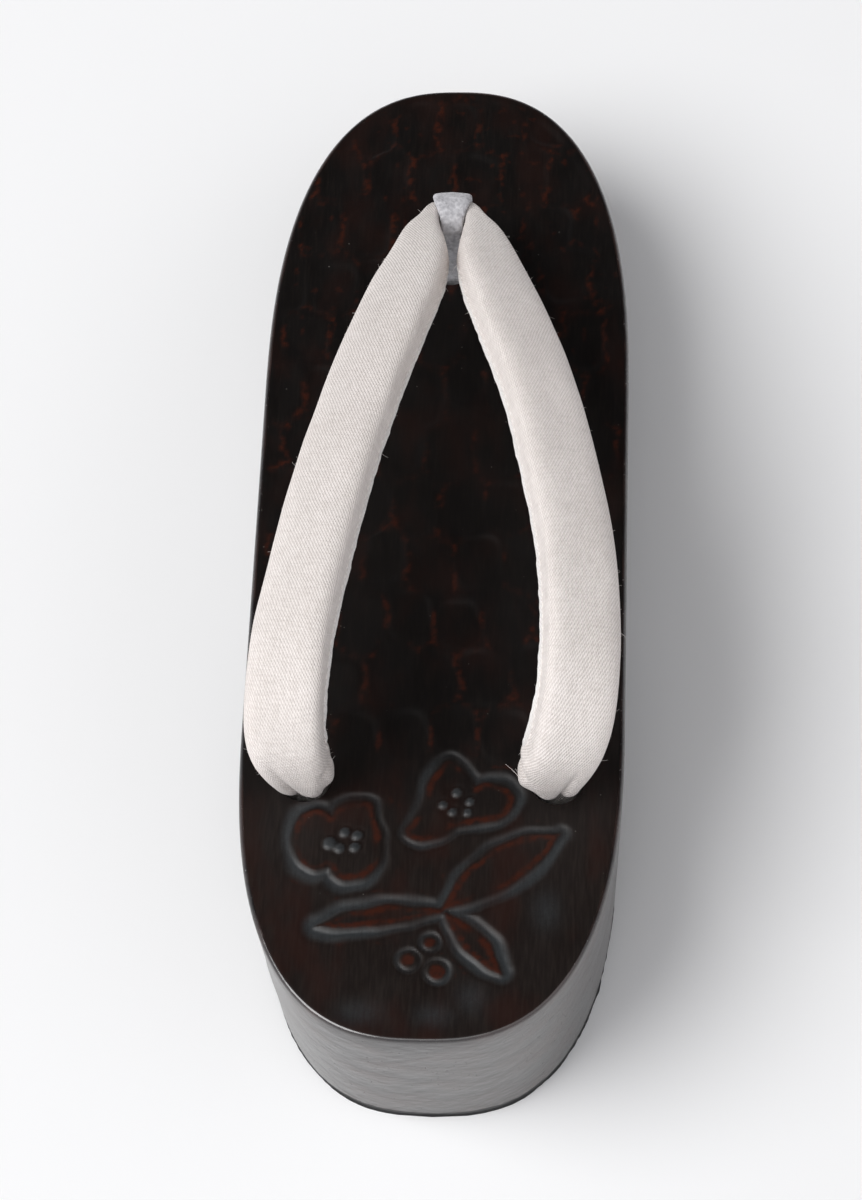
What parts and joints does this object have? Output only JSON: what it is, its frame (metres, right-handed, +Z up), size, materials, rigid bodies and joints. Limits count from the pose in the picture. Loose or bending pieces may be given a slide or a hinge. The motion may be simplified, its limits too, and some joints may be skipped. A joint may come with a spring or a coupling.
{
  "type": "geta sandal",
  "caption": "Women's wooden geta sandal, left shoe: lacquered board with a solid heel and an arched underside on thin rubbers, padded cloth strap and folded felt toe loop.",
  "frame": {"origin": "on the floor under the middle of the board's length and width", "axes": "+Z up, +Y from heel to toe, +X to the wearer's right"},
  "size_m": [0.08, 0.24, 0.0853],
  "materials": {
    "lacquered_wood": "dark brown-black gloss lacquer with red-brown edges to the carving",
    "rubber": "matt black",
    "strap_cloth": "off-white fine cloth, padded",
    "felt": "light grey felt"
  },
  "bodies": {
    "root": {"dai": "lacquered_wood", "heel_rubber": "rubber", "fore_rubber": "rubber", "hanao": "strap_cloth", "maetsubo": "felt"}
  },
  "joints": []
}
